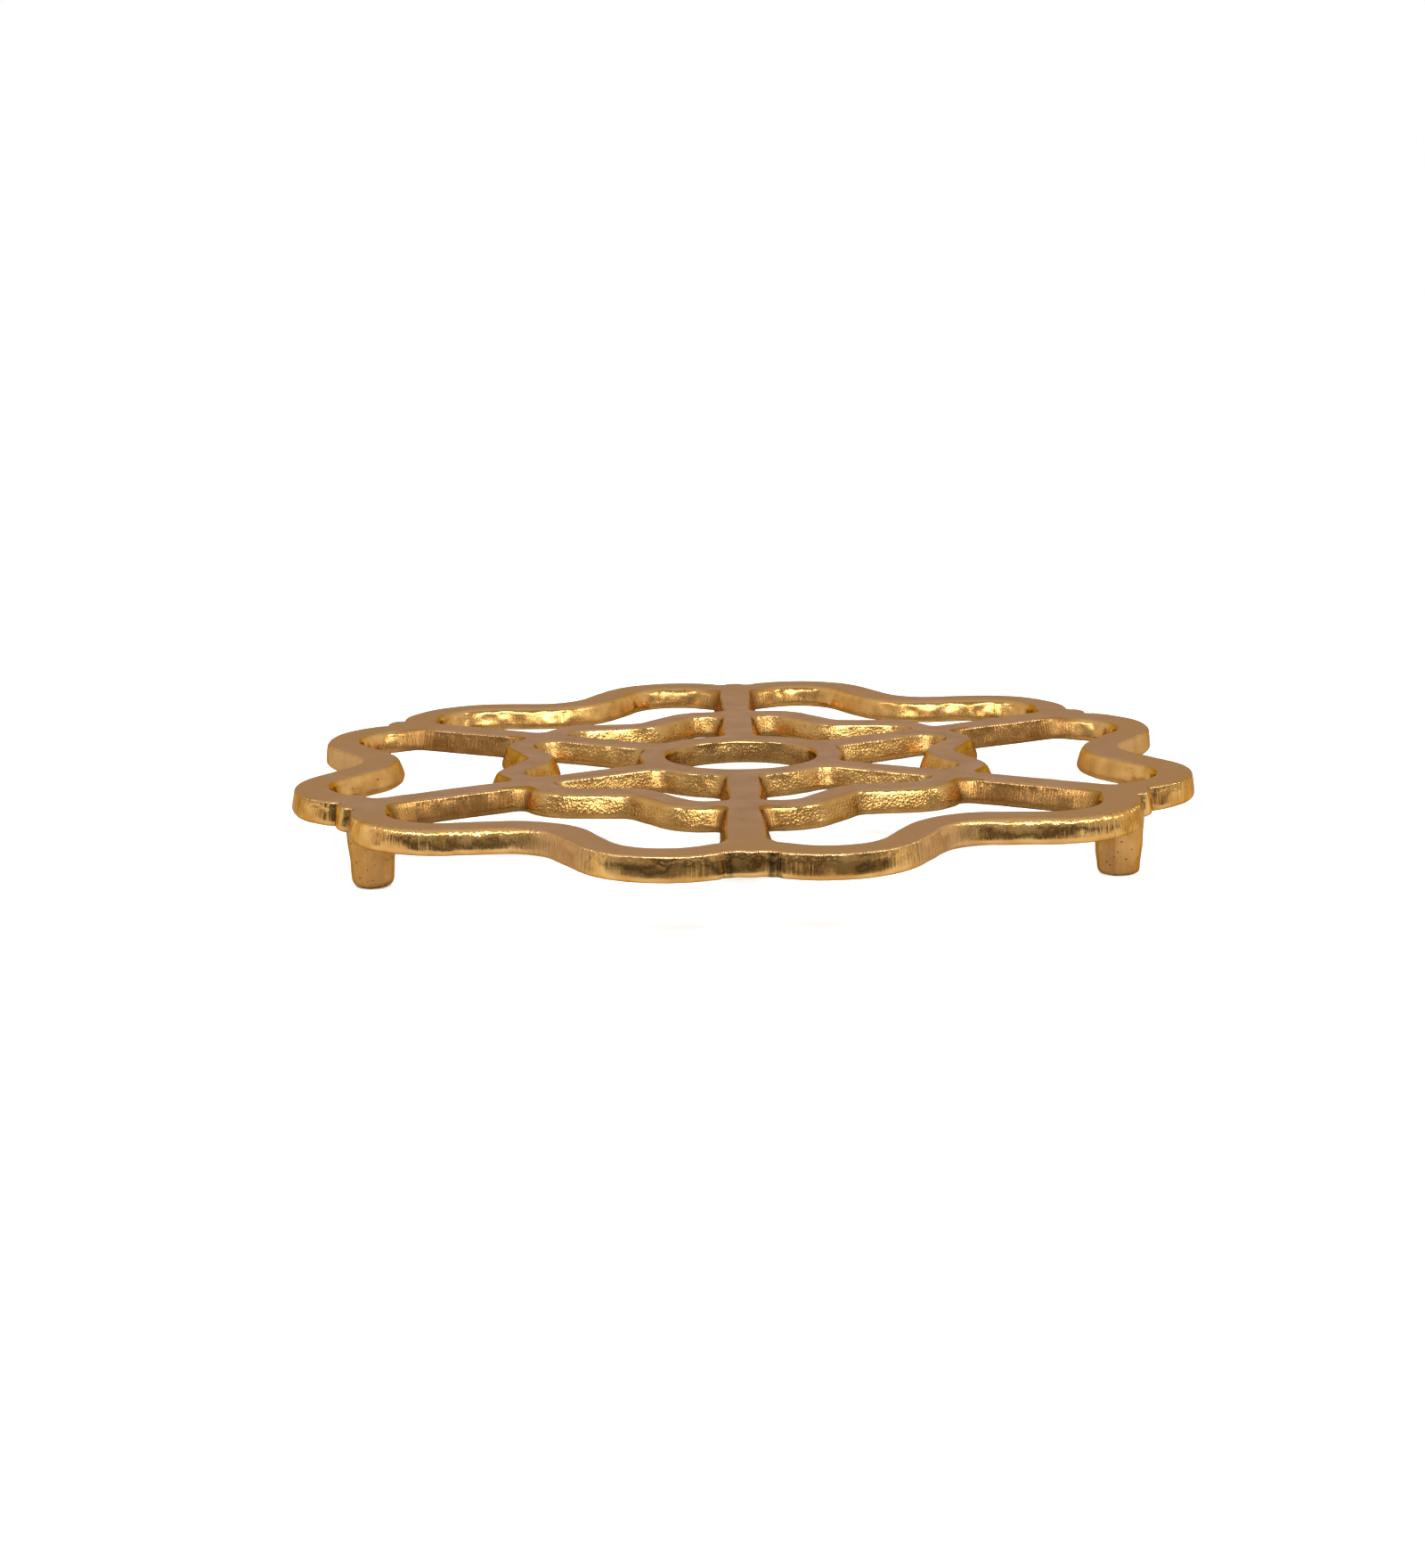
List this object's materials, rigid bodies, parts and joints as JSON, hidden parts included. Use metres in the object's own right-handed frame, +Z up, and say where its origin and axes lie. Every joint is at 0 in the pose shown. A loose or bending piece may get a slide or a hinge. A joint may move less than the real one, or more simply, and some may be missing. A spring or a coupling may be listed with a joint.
{
  "type": "trivet",
  "caption": "Round openwork trivet of cast brass: a wavy petal-shaped rim, an inner petal ring and a round hub joined by spokes, ground flat on top, on short tapered peg feet.",
  "frame": {"origin": "on the table, under the middle of the hub, level with the ends of the feet", "axes": "+Z up; +Y towards the back foot, along the front and back spokes; +X to the right seen from the front"},
  "size_m": [0.2, 0.206, 0.0185],
  "materials": {
    "cast_brass": "sand-cast brass: top ground flat and satin, walls filed and half polished",
    "spoke_brass": "sand-cast brass: top ground flat and satin, drafted sides as cast",
    "foot_brass": "cast brass pegs, hand filed, with small casting pits"
  },
  "bodies": {
    "root": {"outer_rim": "cast_brass", "petal_ring": "cast_brass", "hub_ring": "cast_brass", "inner_spoke_front": "spoke_brass", "inner_spoke_front_right": "spoke_brass", "inner_spoke_back_right": "spoke_brass", "inner_spoke_back": "spoke_brass", "inner_spoke_back_left": "spoke_brass", "inner_spoke_front_left": "spoke_brass", "outer_spoke_front": "spoke_brass", "outer_spoke_front_right": "spoke_brass", "outer_spoke_back_right": "spoke_brass", "outer_spoke_back": "spoke_brass", "outer_spoke_back_left": "spoke_brass", "outer_spoke_front_left": "spoke_brass", "foot_back": "foot_brass", "foot_front_left": "foot_brass", "foot_front_right": "foot_brass"}
  },
  "joints": []
}
